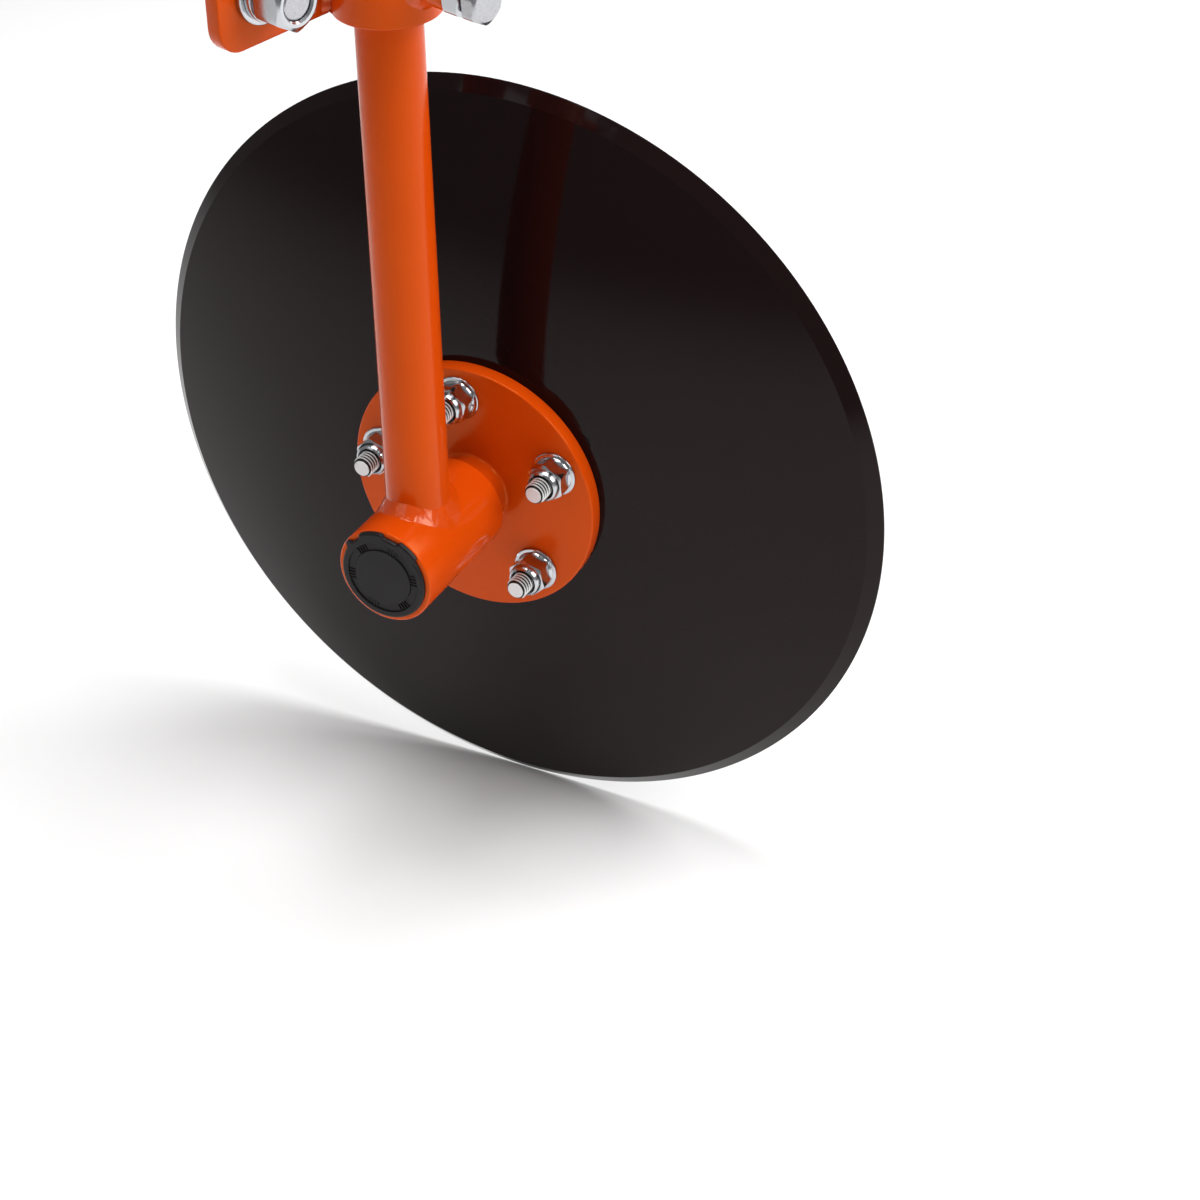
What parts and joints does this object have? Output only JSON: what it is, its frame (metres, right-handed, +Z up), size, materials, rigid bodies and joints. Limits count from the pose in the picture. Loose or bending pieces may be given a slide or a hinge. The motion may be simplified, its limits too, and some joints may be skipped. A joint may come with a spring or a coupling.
{
  "type": "disc harrow blade unit",
  "caption": "Dished soil-cutting disc bolted to a hub that turns on a round upright shank, held by a collar bracket that clamps a square toolbar.",
  "frame": {"origin": "middle of the clamp plate's back face, where it rests on the toolbar", "axes": "+X along the toolbar, +Y from the shank to the toolbar, +Z up along the shank"},
  "size_m": [0.2248, 0.3939, 0.6426],
  "materials": {
    "orange_paint": "glossy powder coat",
    "black_paint": "glossy paint",
    "zinc": "bright zinc plate",
    "nylon": "satin",
    "cap_plastic": "moulded, satin",
    "bearing_steel": "ground"
  },
  "bodies": {
    "bracket": {"clamp_plate": "orange_paint", "rear_clamp_plate": "orange_paint", "shank_collar": "orange_paint", "collar_welds": "orange_paint", "set_bosses": "orange_paint", "clamp_bolts": "zinc", "flat_washers": "zinc", "spring_washers": "zinc", "clamp_nuts": "zinc", "set_bolts": "zinc", "jam_nuts": "zinc"},
    "shank": {"shank": "orange_paint", "hub_tube": "orange_paint", "shank_weld": "orange_paint", "hub_bearings": "bearing_steel", "hub_end_cap": "cap_plastic"},
    "rotor": {"disc_blade": "black_paint", "hub_flange": "orange_paint", "spindle": "bearing_steel", "spindle_nut": "zinc", "disc_bolts": "zinc", "disc_nuts": "zinc", "disc_nut_inserts": "nylon"}
  },
  "joints": [
    {"name": "shank_swivel", "type": "hinge", "parent": "bracket", "child": "shank", "pos_m": [0, -0.0253, -0.06], "axis": [0, 0, 1], "range_deg": [-45, 45]},
    {"name": "disc_spin", "type": "hinge", "parent": "shank", "child": "rotor", "pos_m": [0.05037, -0.01237, -0.3394], "axis": [-0.9686, -0.2487, 0], "continuous": true}
  ]
}
